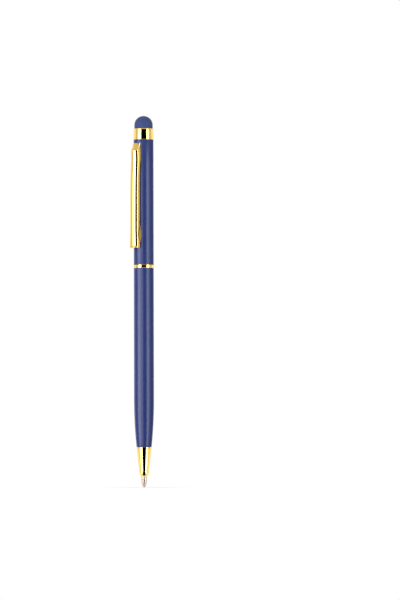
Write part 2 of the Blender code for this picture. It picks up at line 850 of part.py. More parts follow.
lacquer = finish("blue_lacquer", (0.028, 0.045, 0.19), 0.3, 0.0)
gold = finish("gold_plate", (0.9, 0.62, 0.22), 0.12, 1.0)
brass = finish("brass", (0.7, 0.5, 0.2), 0.3, 1.0)
steel = finish("steel", (0.55, 0.55, 0.56), 0.3, 1.0)
nickel = finish("nickel_silver", (0.72, 0.68, 0.6), 0.2, 1.0)
rubber = finish("blue_rubber", (0.05, 0.08, 0.2), 0.7, 0.0)
white_plastic = finish("white_plastic", (0.8, 0.8, 0.78), 0.45, 0.0)
black_plastic = finish("black_plastic", (0.015, 0.015, 0.016), 0.45, 0.0)
ink = finish("blue_ink", (0.01, 0.015, 0.12), 0.35, 0.0)

lower_half = empty("lower_half", at(lower_foot))
upper_half = empty("upper_half", at(upper_foot))
clip_pivot = empty("clip_pivot", (0, -clip_seat_r, toe_top - datum))
refill = empty("refill", at(tube_foot))

make_nose_cone()
make_lower_barrel()
make_centre_band()
make_guide_sleeve()
make_retaining_ring()
make_upper_barrel()
make_helix_sleeve()
make_drive_collar()
make_clip_lock()
make_ferrule()
make_stylus_dome()
make_dome_core()
make_clip()
make_refill_carrier()
make_drive_pin()
make_refill_plug()
make_refill_tube()
make_ink()
make_refill_tip()
make_writing_ball()
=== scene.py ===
# %% [markdown]
# # A slim twist pen with a stylus dome
# This lesson dresses a finished CAD model. The model comes in as a fixed frame of solids that already
# has the right sizes and joints. Each visible solid is modelled again here with finer edges and curves,
# the hidden ones keep their shape, and every piece gets a material with the small marks of the real
# one.

# %% Load the frame
import math

import bmesh
import bpy
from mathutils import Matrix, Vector


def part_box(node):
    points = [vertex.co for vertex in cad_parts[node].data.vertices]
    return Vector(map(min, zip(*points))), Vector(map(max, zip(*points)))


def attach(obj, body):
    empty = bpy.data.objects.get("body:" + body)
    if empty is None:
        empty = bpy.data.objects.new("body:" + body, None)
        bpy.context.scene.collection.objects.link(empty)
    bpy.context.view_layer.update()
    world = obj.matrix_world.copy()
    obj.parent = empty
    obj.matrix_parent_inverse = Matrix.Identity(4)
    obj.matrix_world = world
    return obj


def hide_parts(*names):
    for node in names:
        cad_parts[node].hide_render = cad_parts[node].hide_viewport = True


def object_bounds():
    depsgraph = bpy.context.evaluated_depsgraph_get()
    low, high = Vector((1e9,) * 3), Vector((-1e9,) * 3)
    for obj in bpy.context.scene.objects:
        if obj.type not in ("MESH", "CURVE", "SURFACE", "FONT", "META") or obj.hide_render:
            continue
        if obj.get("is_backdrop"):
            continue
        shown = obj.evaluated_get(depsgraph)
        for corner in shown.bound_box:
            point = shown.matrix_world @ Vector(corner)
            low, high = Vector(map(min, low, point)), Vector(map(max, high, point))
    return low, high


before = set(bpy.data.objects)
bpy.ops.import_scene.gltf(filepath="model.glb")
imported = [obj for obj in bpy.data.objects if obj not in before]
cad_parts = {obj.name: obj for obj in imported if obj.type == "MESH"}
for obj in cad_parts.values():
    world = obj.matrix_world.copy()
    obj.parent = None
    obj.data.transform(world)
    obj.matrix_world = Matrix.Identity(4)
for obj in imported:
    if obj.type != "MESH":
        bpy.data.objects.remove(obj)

MM = 0.001


def sizes(low, high):
    """Lengths of a box along X, Y and Z, in mm."""
    return [round((b - a) / MM, 2) for a, b in zip(low, high)]


cad_low, cad_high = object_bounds()
print("CAD box in mm:", sizes(cad_low, cad_high))

# %% [markdown]
# ## Measuring the frame
# The pen stands on its point along Z, so nearly everything is a radius or a height. Both are read from
# the boxes of the CAD nodes. Numbers that a box can't tell, such as where a curve starts, are named
# where they are first used.

# %% Radii and heights


def radius_of(node):
    """Largest radius of a turned node."""
    low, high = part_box(node)
    return (high.x - low.x) / 2


def span_of(node):
    """Foot and top of a node along the pen."""
    low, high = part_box(node)
    return low.z, high.z


barrel_r = radius_of("upper_barrel")
nose_r = radius_of("nose_cone")
lower_foot, lower_top = span_of("lower_barrel")
upper_foot, upper_top = span_of("upper_barrel")
band_foot, band_top = span_of("centre_band")
mouth = span_of("nose_cone")[0]
point_end = span_of("writing_ball")[0]
dome_top = span_of("stylus_dome")[1]
print("barrel radius", round(barrel_r / MM, 3), "mm, pen from", round(point_end / MM, 2),
      "to", round(dome_top / MM, 2), "mm")

# %% [markdown]
# ## Helpers for modelling by hand
# An operator works on whatever is selected, so each piece starts from an empty selection. In edit mode
# the faces, edges or points to work on are picked by their place, which is what the eye does on the
# screen.

# %% Add, pick and weld
WELD = 1e-7


def added(name, operator, **options):
    """Runs one of Blender's add operators with nothing else selected, and names what it made."""
    bpy.ops.object.select_all(action="DESELECT")
    operator(**options)
    made = bpy.context.object
    made.name = made.data.name = name
    bpy.ops.object.transform_apply(location=True, rotation=True, scale=True)
    return made


def pick(piece, wanted):
    """In edit mode, selects the points whose place passes a test, and what lies between them."""
    shape = bmesh.from_edit_mesh(piece.data)
    shape.select_mode = {"VERT"}
    for vert in shape.verts:
        vert.select = bool(wanted(vert.co))
    shape.select_flush_mode()
    bmesh.update_edit_mesh(piece.data)


def welded():
    """In edit mode, closes the seams and turns all faces outwards."""
    bpy.ops.mesh.select_all(action="SELECT")
    bpy.ops.mesh.remove_doubles(threshold=WELD)
    bpy.ops.mesh.normals_make_consistent(inside=False)


# %% Modify, round, smooth and tell


def chosen(piece):
    """Selects one piece and nothing else, and makes it the active one."""
    bpy.ops.object.select_all(action="DESELECT")
    piece.select_set(True)
    bpy.context.view_layer.objects.active = piece


def modified(piece, kind, **settings):
    """Adds a modifier and applies it."""
    chosen(piece)
    modifier = piece.modifiers.new(kind.title(), kind)
    for key, value in settings.items():
        setattr(modifier, key, value)
    bpy.ops.object.modifier_apply(modifier=modifier.name)


def smooth(piece, angle=35):
    """Shades a piece smooth, apart from edges that are sharper than the angle."""
    chosen(piece)
    bpy.ops.object.shade_smooth_by_angle(angle=math.radians(angle))


def rounded(piece, width, segments=3, angle=35):
    """Rounds every edge that is sharper than the angle, then shades the piece smooth."""
    modified(piece, "BEVEL", width=width, segments=segments, limit_method="ANGLE",
             angle_limit=math.radians(angle), use_clamp_overlap=False)
    smooth(piece)


def told(piece):
    """Prints what a piece came to."""
    along = list(zip(*[v.co for v in piece.data.vertices]))
    print(piece.name, len(piece.data.polygons), "faces,", sizes(map(min, along), map(max, along)), "mm")


# %% [markdown]
# ## A lathe from one ring
# Most of the pen is turned. A screw modifier or the spin tool would do it, but extruding a ring keeps
# the work visible: the ring is pulled to the next height, resized to the next radius, and so on along
# the profile, down the outside and back up the bore until it meets its own start.

# %% The lathe
FACETS = 128


def turned(name, profile, solid_start=False, solid_end=False):
    """A turned piece from its (radius, height) points. A solid start or end is closed with a fan."""
    (radius, level), rest = profile[0], profile[1:]
    piece = added(name, bpy.ops.mesh.primitive_circle_add, vertices=FACETS, radius=radius,
                  location=(0, 0, level), fill_type="TRIFAN" if solid_start else "NOTHING")
    bpy.ops.object.mode_set(mode="EDIT")
    bpy.ops.mesh.select_mode(type="VERT")
    pick(piece, lambda p: math.hypot(p.x, p.y) > profile[0][0] / 2)
    bpy.ops.mesh.select_mode(type="EDGE")
    for next_radius, next_level in rest:
        bpy.ops.mesh.extrude_edges_move(TRANSFORM_OT_translate={"value": (0, 0, next_level - level)})
        share = next_radius / radius
        bpy.ops.transform.resize(value=(share, share, 1), center_override=(0, 0, next_level))
        radius, level = next_radius, next_level
    if solid_end:
        bpy.ops.mesh.edge_face_add()
        bpy.ops.mesh.poke()
    welded()
    bpy.ops.object.mode_set(mode="OBJECT")
    return piece


def arc(centre, radius, start, end, steps):
    """Points of an arc, in degrees, round a (radius, height) centre."""
    turns = [math.radians(start + (end - start) * i / steps) for i in range(steps + 1)]
    return [(centre[0] + radius * math.cos(a), centre[1] + radius * math.sin(a)) for a in turns]


def ring(outer, bore, foot, top):
    """Profile of a plain tube."""
    return [(outer, top), (outer, foot), (bore, foot), (bore, top), (outer, top)]


# %% [markdown]
# ## Lower barrel
# A drawn brass tube under blue lacquer. It is straight for most of its length and then curves in
# towards the nose on one long arc, which meets the straight part without a kink. The wall shows only at
# the ends, where the edge is softened by the thickness of the lacquer.

# %% Lower barrel
WALL = 0.4 * MM
TAPER = 17.6 * MM
TAPER_STEPS = 28
LACQUER_EDGE = 0.1 * MM

taper_in = barrel_r - nose_r
sweep = (taper_in**2 + TAPER**2) / (2 * taper_in)


def taper_r(height):
    """Outer radius of the lower barrel at a height above its foot."""
    down = max(0.0, TAPER - height)
    return barrel_r - sweep + math.sqrt(sweep**2 - down**2)


taper_heights = [TAPER * (1 - i / TAPER_STEPS) for i in range(TAPER_STEPS + 1)]
outside = [(barrel_r, lower_top)] + [(taper_r(h), lower_foot + h) for h in taper_heights]
inside = [(r - WALL, z) for r, z in reversed(outside)]
lower_tube = turned("lower_tube", outside + inside + outside[:1])
rounded(lower_tube, LACQUER_EDGE)
told(lower_tube)

# %% [markdown]
# ## Nose cone
# A plain gold-plated cone, screwed into the barrel by a spigot that doesn't show. Its top is flush with
# the barrel's end, and its mouth is rolled over into a soft rim, which catches a bright line just above
# the point. Blender's cone primitive has no bore and no rim, so the cone comes from the lathe too.

# %% Nose cone
MOUTH_RADIUS, MOUTH_RIM = 1.55 * MM, 0.3 * MM
NOSE_STEPS, RIM_STEPS = 12, 8
NOSE_SPIGOT, SPIGOT_GAP = 4.5 * MM, 0.04 * MM
REFILL_PLAY = 0.1 * MM
GUIDE_TOP, FUNNEL_TOP = 2 * MM, 8 * MM
PLATED_EDGE = 0.06 * MM

nose_top = span_of("nose_cone")[1] - NOSE_SPIGOT
spigot_top = nose_top + NOSE_SPIGOT
spigot_r = nose_r - WALL - SPIGOT_GAP
guide_r = radius_of("refill_tip") + REFILL_PLAY
tube_way = radius_of("refill_tube") + REFILL_PLAY
slope = [(nose_r + (MOUTH_RADIUS - nose_r) * i / NOSE_STEPS,
          nose_top + (mouth - nose_top) * i / NOSE_STEPS) for i in range(NOSE_STEPS)]
lean = math.degrees(math.atan2(nose_r - MOUTH_RADIUS, nose_top - mouth))
rim_centre = (MOUTH_RADIUS - MOUTH_RIM, mouth + MOUTH_RIM)
rim = arc(rim_centre, MOUTH_RIM, -lean, -90, RIM_STEPS)
nose = turned("nose_turned", [
    (spigot_r, spigot_top), (spigot_r, nose_top), *slope, *rim,
    (guide_r, mouth), (guide_r, mouth + GUIDE_TOP), (tube_way, mouth + FUNNEL_TOP),
    (tube_way, spigot_top), (spigot_r, spigot_top)])
rounded(nose, PLATED_EDGE)
told(nose)

# %% [markdown]
# ## Centre band
# The ring that the two halves turn against. It stands a hair proud of the barrels, with both edges
# rounded so that it reads as a separate bright line. A torus would be too round, so it is a turned ring
# with a bevel of four segments.

# %% Centre band
BAND_EDGE = 0.14 * MM

barrel_bore = barrel_r - WALL
band = turned("band_turned", ring(radius_of("centre_band"), barrel_bore, band_foot, band_top))
rounded(band, BAND_EDGE, segments=4)
told(band)

# %% [markdown]
# ## Upper barrel
# A straight tube of the same lacquer. The clip's root goes through a slot in it. The slot could be
# built into the mesh, but cutting it keeps the tube round: a block with rounded lower corners is taken
# out of it with a Boolean, and the block is then thrown away.

# %% Upper barrel and its slot
SLOT_WIDTH = 3.58 * MM
SLOT_LENGTH = 6.95 * MM
SLOT_CORNER, SLOT_EDGE = 1.2 * MM, 0.05 * MM
SLOT_BELOW_TOP = 4.7 * MM

slot_top = upper_top - SLOT_BELOW_TOP
slot_foot = slot_top - SLOT_LENGTH


def block(name, low, high):
    """A box between two corners."""
    size = [b - a for a, b in zip(low, high)]
    middle = [(a + b) / 2 for a, b in zip(low, high)]
    return added(name, bpy.ops.mesh.primitive_cube_add, size=1, location=middle, scale=size)


def cut(piece, tool):
    """Takes one piece out of another and removes the tool."""
    modified(piece, "BOOLEAN", operation="DIFFERENCE", solver="MANIFOLD", object=tool)
    bpy.data.objects.remove(tool)


upper_tube = turned("upper_tube", ring(barrel_r, barrel_bore, upper_foot, upper_top))
slot_block = block("slot_block", (-SLOT_WIDTH / 2, -2 * barrel_r, slot_foot),
                   (SLOT_WIDTH / 2, 0, slot_top))
bpy.ops.object.mode_set(mode="EDIT")
for side in (-1, 1):
    pick(slot_block, lambda p: p.x * side > 0 and p.z < slot_foot + WELD)
    bpy.ops.mesh.bevel(offset=SLOT_CORNER, segments=8, affect="EDGES")
bpy.ops.object.mode_set(mode="OBJECT")
cut(upper_tube, slot_block)
rounded(upper_tube, SLOT_EDGE, segments=2)
told(upper_tube)

# %% [markdown]
# ## Ferrule
# The tapered gold ring that holds the dome. Its foot stands just proud of the barrel. Its top is rolled
# in over the rubber on a wide curve, so the stripes of light on its side stop short of the rim. A bevel
# is too even for that, so the curve is part of the profile.

# %% Ferrule
FERRULE_SPIGOT = 2.5 * MM
FERRULE_TAPER = 0.09 * MM
SEAT = 0.05 * MM
ROLLED_EDGE, ROLL_START, ROLL_STEPS = 0.55 * MM, 58, 10
SKIRT_STEP, SKIRT_WALL = 0.36 * MM, 0.7 * MM
POCKET_DEPTH = 3.1 * MM

ferrule_r = radius_of("ferrule")
ferrule_foot, ferrule_top = span_of("ferrule")
collar_foot = ferrule_foot + FERRULE_SPIGOT + SEAT
plug_r = barrel_bore - SPIGOT_GAP
dome_r = radius_of("stylus_dome")
skirt_r = dome_r - SKIRT_STEP
skirt_bore = skirt_r - SKIRT_WALL
pocket_r, pocket_foot = skirt_r + SPIGOT_GAP, ferrule_top - POCKET_DEPTH
roll_level = ferrule_top - ROLLED_EDGE * math.sin(math.radians(ROLL_START))
roll_centre = (ferrule_r - FERRULE_TAPER - ROLLED_EDGE, roll_level)
roll = arc(roll_centre, ROLLED_EDGE, ROLL_START, 0, ROLL_STEPS)
ferrule = turned("ferrule_turned", [
    *roll, (ferrule_r, collar_foot), (plug_r, collar_foot), (plug_r, ferrule_foot),
    (skirt_bore, ferrule_foot), (skirt_bore, pocket_foot),
    (pocket_r, pocket_foot), (pocket_r, ferrule_top), roll[0]])
rounded(ferrule, PLATED_EDGE)
told(ferrule)

# %% [markdown]
# ## Stylus dome
# Soft conductive rubber, moulded as a hollow cap. It has a short straight side and a round top, and a
# skirt that goes down into the ferrule. A sphere could be the start, but the lathe gives the outside,
# the skirt and the hollow in one line. A small fillet at the foot of the side curves in to the
# ferrule's rolled edge, so a fine shadow line parts the two.

# %% Stylus dome
DOME_STEPS, FILLET_STEPS = 24, 5
DOME_WALL, DOME_FILLET = 0.75 * MM, 0.18 * MM
SKIRT_LENGTH = 3 * MM
HOLLOW_RELIEF = 0.3 * MM
# The arcs stop just short of the axis, in degrees, where fans close them.
CROWN_STOP, HOLLOW_STOP = 89, 88

springing = dome_top - dome_r
dome_foot = ferrule_top + SEAT
skirt_foot = dome_foot - SKIRT_LENGTH
fillet_centre = (dome_r - DOME_FILLET, dome_foot + DOME_FILLET)
dome = turned("dome_rubber", [
    *arc((0, springing), dome_r, CROWN_STOP, 0, DOME_STEPS),
    *arc(fillet_centre, DOME_FILLET, 0, -90, FILLET_STEPS),
    (skirt_r, dome_foot), (skirt_r, skirt_foot), (skirt_bore, skirt_foot),
    (skirt_bore, springing - HOLLOW_RELIEF),
    *arc((0, springing), dome_r - DOME_WALL, 0, HOLLOW_STOP, DOME_STEPS)],
    solid_start=True, solid_end=True)
smooth(dome)
told(dome)

# %% [markdown]
# ## Clip
# One strip of sheet metal, pressed into a channel with a crowned face. A cube could be carved to it,
# but a pressing is a section carried along a line, so it is made that way: half an ellipse with two
# short walls is extruded from height to height. At each height the section is moved out to the clip's
# line, and its two feet are moved to where the wall ends. A narrow toe slopes down to the barrel, two
# ears reach into the slot and end in hooks, and two lobes press on the barrel near the free end. The
# arm widens a little below its shoulder and again towards the free end, which is closed and flares.

# %% The clip's crown line
TOE_TRIM, END_OVERHANG = 0.1 * MM, 0.25 * MM

clip_end, toe_top = span_of("clip")
clip_end, toe_top = clip_end - END_OVERHANG, toe_top - TOE_TRIM

# Heights below the toe's top, and the crown's distance from the axis there, in mm.
crown_line = [(toe_top - drop * MM, out * MM) for drop, out in (
    (-1.0, 4.39), (0.9, 4.81), (2.8, 5.72), (4.1, 5.58), (6.4, 5.57), (9.4, 5.75),
    (12.3, 5.89), (16.8, 5.97), (31.8, 6.03), (37.6, 6.07), (38.4, 6.36), (39.4, 6.72))]


def crown_at(height, soften=0.3 * MM, samples=9):
    """Distance of the crown from the axis, its bends rounded by averaging along the line."""
    total = 0.0
    for i in range(samples):
        level = height + soften * (2 * i / (samples - 1) - 1)
        for (z0, v0), (z1, v1) in zip(crown_line, crown_line[1:]):
            if z1 <= level <= z0:
                total += v0 + (v1 - v0) * (z0 - level) / (z0 - z1)
                break
    return total / samples


print("crown out to", round(crown_at(toe_top) / MM, 2), "mm at the toe and",
      round(crown_at(clip_end) / MM, 2), "mm at the free end")

# %% [markdown]
# The sheet's outline is cut before it is bent, so the clip's width and the depth of its walls change
# along it. Each could be a curve to edit by hand. As functions of the height they are easier to set
# right, and the extruding below can ask for them wherever it stops.

# %% The clip's widths and the edges of its walls
TOE_HALF, ARM_HALF = 1.7 * MM, 1.8 * MM
SHOULDER_DROP = 2.8 * MM
END_WIDER, WIDENS_FROM = 0.17 * MM, 1.5 * MM
EAR_DROP, EAR_LENGTH, EAR_FADE = 0.45 * MM, 2.0 * MM, 3.3 * MM
EAR_HALF, EAR_BLEND = 1.74 * MM, 2.6 * MM
TOE_FOOT, TOE_FOOT_HALF = 3.0 * MM, 1.58 * MM
ARM_DEPTH, ARM_FOOT_HALF = 2.35 * MM, 1.66 * MM
LOBE_FOOT, LOBE_FOOT_HALF = 3.87 * MM, 1.52 * MM
LOBE_REACH, LOBE_POWER = 3.4 * MM, 1.5

shoulder = toe_top - SHOULDER_DROP
ear_top = slot_top - EAR_DROP
ear_foot = ear_top - EAR_LENGTH
arm_start = ear_foot - EAR_FADE


def clamped(share):
    """A share that stays between 0 and 1."""
    return min(1.0, max(0.0, share))


def lobe_share(height):
    """0 at the ends of the lobes and 1 at their middle, which is the origin's height."""
    return clamped(1 - (height / LOBE_REACH) ** 2) ** LOBE_POWER


def wider_at(height):
    """What the free end adds to half the width."""
    return END_WIDER * clamped((WIDENS_FROM - height) / (WIDENS_FROM - clip_end))


def half_at(height):
    """Half the width of the crown: it grows below the shoulder and again towards the free end."""
    share = clamped((shoulder - height) / (shoulder - ear_foot))
    return TOE_HALF + (ARM_HALF - TOE_HALF) * share + wider_at(height)


def foot_at(height):
    """Distance of the walls' edges from the axis, and half the width between them."""
    if height > ear_foot - WELD:
        above = clamped((height - ear_top) / EAR_BLEND)
        return TOE_FOOT, EAR_HALF + (TOE_FOOT_HALF - EAR_HALF) * above
    edge = crown_at(height) - ARM_DEPTH
    share, reach, half = lobe_share(height), LOBE_FOOT, LOBE_FOOT_HALF
    if height > arm_start:
        share, reach, half = ((height - arm_start) / (ear_foot - arm_start)) ** 2, TOE_FOOT, EAR_HALF
    arm_half = ARM_FOOT_HALF + wider_at(height)
    return edge + (reach - edge) * share, arm_half + (half - arm_half) * share


def steps(high, low, count):
    """Heights from high to low, without the first."""
    return [high + (low - high) * i / count for i in range(1, count + 1)]


stretches = [(toe_top, ear_top, 18), (ear_top, ear_foot, 4), (ear_foot, arm_start, 10),
             (arm_start, LOBE_REACH, 12), (LOBE_REACH, -LOBE_REACH, 24), (-LOBE_REACH, clip_end, 3)]
levels = [toe_top] + [level for stretch in stretches for level in steps(*stretch)]
print("clip drawn at", len(levels), "heights, end", round(2 * half_at(clip_end) / MM, 2), "mm wide")

# %% [markdown]
# The section starts as a circle, which is squashed to the crown's ellipse and cut in half. A curve with
# a bevel profile would follow the clip's line too, but its section couldn't change on the way.

# %% The clip's channel
CROWN_POINTS = 64
CROWN_HEIGHT = 1.15 * MM
NEAR = 10 * WELD

clip = added("clip_pressed", bpy.ops.mesh.primitive_circle_add, vertices=CROWN_POINTS, radius=1.0)
bpy.ops.object.mode_set(mode="EDIT")
bpy.ops.mesh.select_mode(type="VERT")
bpy.ops.transform.resize(value=(TOE_HALF, CROWN_HEIGHT, 1), center_override=(0, 0, 0))
pick(clip, lambda p: p.y > WELD)
bpy.ops.mesh.delete(type="VERT")
bpy.ops.mesh.select_all(action="SELECT")
springing_line = crown_at(toe_top) - CROWN_HEIGHT
bpy.ops.transform.translate(value=(0, -springing_line, toe_top))
pick(clip, lambda p: abs(p.x) > TOE_HALF - WELD)
bpy.ops.mesh.extrude_vertices_move(TRANSFORM_OT_translate={"value": (0, springing_line - TOE_FOOT, 0)})


def spread(share):
    """In edit mode, makes the selection wider or narrower about the pen's middle."""
    bpy.ops.transform.resize(value=(share, 1, 1), center_override=(0, 0, 0))


def pulled(*way):
    """In edit mode, extrudes the selected edges along a way."""
    bpy.ops.mesh.select_mode(type="EDGE")
    bpy.ops.mesh.extrude_edges_move(TRANSFORM_OT_translate={"value": way})


def is_foot(point, height, reach, half):
    """Whether a point is one of the two feet of the section at a height."""
    return max(abs(point.z - height), abs(-point.y - reach), abs(abs(point.x) - half)) < NEAR


spread(TOE_FOOT_HALF / TOE_HALF)
for last, level in zip(levels, levels[1:]):
    out = crown_at(level) - crown_at(last)
    (old_reach, old_half), (new_reach, new_half) = foot_at(last), foot_at(level)
    pick(clip, lambda p: abs(p.z - last) < WELD)
    pulled(0, -out, level - last)
    wider = half_at(level) / half_at(last)
    spread(wider)
    pick(clip, lambda p: is_foot(p, level, old_reach + out, old_half * wider))
    bpy.ops.transform.translate(value=(0, old_reach + out - new_reach, 0))
    spread(new_half / old_half / wider)
pick(clip, lambda p: abs(p.z - clip_end) < WELD)
bpy.ops.mesh.edge_face_add()
bpy.ops.object.mode_set(mode="OBJECT")
told(clip)

# %% [markdown]
# The lobes hold the cloth of a pocket against the barrel. Their edges are turned out into small lips,
# so that the cloth slides under them. The walls' edges are extruded once more for that, and each point
# then moves by its share of the lobe, so the lips fade out at both ends.

# %% The lobes' lips
LIP_DEPTH, LIP_OUT = 0.68 * MM, 0.373 * MM

lobe_levels = [z for z in levels if abs(z) < LOBE_REACH + WELD]
bpy.ops.object.mode_set(mode="EDIT")
pick(clip, lambda p: any(is_foot(p, z, *foot_at(z)) for z in lobe_levels))
pulled(0, LIP_DEPTH, 0)
for level in lobe_levels:
    reach, half = foot_at(level)
    share = lobe_share(level)
    pick(clip, lambda p: is_foot(p, level, reach - LIP_DEPTH, half))
    bpy.ops.transform.translate(value=(0, -LIP_DEPTH * (1 - share), 0))
    spread(1 + LIP_OUT * share / half)
bpy.ops.object.mode_set(mode="OBJECT")
told(clip)

# %% [markdown]
# Just below the shoulder, the walls run on through the slot as ears, and hooks at their ends stand up
# behind the barrel's wall and keep the clip in. They could be pieces of their own, but on the real clip
# they are the same sheet, so they are pulled out of the same walls.

# %% The clip's ears and hooks
HOOK_OUTER, HOOK_INNER = 2.32 * MM, 1.87 * MM
HOOK_HALF, HOOK_RISE = 1.68 * MM, 2.1 * MM
EAR_HEEL = 0.4 * MM


def on_ear(point, reach):
    """Whether a point is on the ears' edge at a distance from the axis."""
    return abs(-point.y - reach) < NEAR and ear_foot - WELD < point.z < ear_top + WELD


bpy.ops.object.mode_set(mode="EDIT")
for here, there, narrower in ((TOE_FOOT, HOOK_OUTER, HOOK_HALF / EAR_HALF), (HOOK_OUTER, HOOK_INNER, 1)):
    pick(clip, lambda p: on_ear(p, here) and abs(p.x) > HOOK_HALF - NEAR)
    pulled(0, here - there, 0)
    spread(narrower)
pick(clip, lambda p: -p.y < HOOK_OUTER + NEAR and abs(p.z - ear_top) < WELD)
pulled(0, 0, HOOK_RISE)
pick(clip, lambda p: on_ear(p, HOOK_INNER) and p.z < ear_foot + WELD)
bpy.ops.transform.translate(value=(0, 0, EAR_HEEL))
welded()
bpy.ops.object.mode_set(mode="OBJECT")
front = min(clip.data.polygons, key=lambda face: face.center.y)
if front.normal.y > 0:
    clip.data.flip_normals()
told(clip)

# %% [markdown]
# The sheet gets its thickness inwards, its raw edges are rounded a little, and the toe and lobes are
# then trimmed to the barrel's curve, so that they lie on it and never sink in. A Boolean leaves slivers
# and faces with dozens of sides, which would shade badly and could fold when they are exported. So the
# slivers are dissolved and the many-sided faces are split.

# %% The clip's thickness and raw edges
SHEET = 0.36 * MM
CLIP_EDGE, RAW_EDGE_ANGLE = 0.05 * MM, 50

modified(clip, "SOLIDIFY", thickness=SHEET, offset=-1, use_even_offset=True, use_rim=True)
bpy.ops.object.mode_set(mode="EDIT")
bpy.ops.mesh.select_mode(type="EDGE")
bpy.ops.mesh.select_all(action="DESELECT")
bpy.ops.mesh.edges_select_sharp(sharpness=math.radians(RAW_EDGE_ANGLE))
for edge in bmesh.from_edit_mesh(clip.data).edges:
    if any(v.co.z > arm_start for v in edge.verts):
        edge.select = False
bpy.ops.mesh.bevel(offset=CLIP_EDGE, segments=2, affect="EDGES", clamp_overlap=True)
bpy.ops.object.mode_set(mode="OBJECT")
told(clip)

# %% The clip's seats
CLIP_SEAT, SEAT_DEPTH, SEAT_SPARE = 0.05 * MM, 0.6 * MM, 2 * MM
SLIVER = 0.003 * MM
# Small enough to keep the bevel at the free end apart from the face beside it.
CLIP_SMOOTH = 20.5

for name, low, high in (("toe_seat", ear_top + SEAT, toe_top + SEAT_SPARE),
                        ("lobe_seat", clip_end - SEAT_SPARE, slot_foot)):
    cut(clip, turned(name, ring(barrel_r + CLIP_SEAT, barrel_r - SEAT_DEPTH, low, high)))
bpy.ops.object.mode_set(mode="EDIT")
bpy.ops.mesh.select_mode(type="FACE")
bpy.ops.mesh.select_all(action="SELECT")
bpy.ops.mesh.dissolve_degenerate(threshold=SLIVER)
bpy.ops.mesh.select_all(action="DESELECT")
bpy.ops.mesh.select_face_by_sides(number=4, type="GREATER")
bpy.ops.mesh.quads_convert_to_tris(ngon_method="BEAUTY")
bpy.ops.object.mode_set(mode="OBJECT")
smooth(clip, CLIP_SMOOTH)
told(clip)

# %% [markdown]
# ## Writing point
# The refill's tip is turned from nickel silver: a straight neck, a short cone, a small step and a
# rolled lip that holds the ball. The lip is narrower than the ball, so the ball can't fall out. The
# ball is ground hard metal. Only its lower end shows, but it is made whole, because the lathe does that
# as easily.

# %% Writing point
CONE_TOP, CONE_FOOT, CONE_RADIUS = 1.65 * MM, 0.8 * MM, 0.74 * MM
STEP_HEIGHT = 0.1 * MM
LIP_RADIUS, LIP_TAPER, LIP_ROLL = 0.52 * MM, 0.04 * MM, 0.06 * MM
LIP_GRIP, SOCKET_PLAY = 0.94, 1.06
SOCKET_TOP, FUNNEL_END, INK_WAY = 0.1 * MM, 0.5 * MM, 0.3 * MM
POINT_EDGE, POINT_ANGLE = 0.03 * MM, 20

tip_r = radius_of("refill_tip")
tip_foot, tip_top = span_of("refill_tip")
ball_r = radius_of("writing_ball")
ball_level = point_end + ball_r
cone_foot = point_end + CONE_FOOT
point = turned("point_turned", [
    (tip_r, tip_top), (tip_r, point_end + CONE_TOP), (CONE_RADIUS, cone_foot),
    (LIP_RADIUS + LIP_TAPER, cone_foot - STEP_HEIGHT), (LIP_RADIUS, tip_foot + LIP_ROLL),
    (LIP_RADIUS - LIP_TAPER, tip_foot), (ball_r * LIP_GRIP, tip_foot),
    (ball_r * SOCKET_PLAY, ball_level + SOCKET_TOP), (INK_WAY, ball_level + FUNNEL_END),
    (INK_WAY, tip_top), (tip_r, tip_top)])
rounded(point, POINT_EDGE, segments=2, angle=POINT_ANGLE)
told(point)

# %% Ball
BALL_STOP, BALL_STEPS = 87, 24

ball = turned("ball_ground", arc((0, ball_level), ball_r, BALL_STOP, -BALL_STOP, BALL_STEPS),
              solid_start=True, solid_end=True)
smooth(ball, angle=60)
told(ball)

# %% [markdown]
# ## Shader maths in Python
# Nodes are easier to read as sums. This class wraps one socket, so that adding or multiplying two of
# them adds a Math node, and every other node comes from one method.

# %% A class for sockets


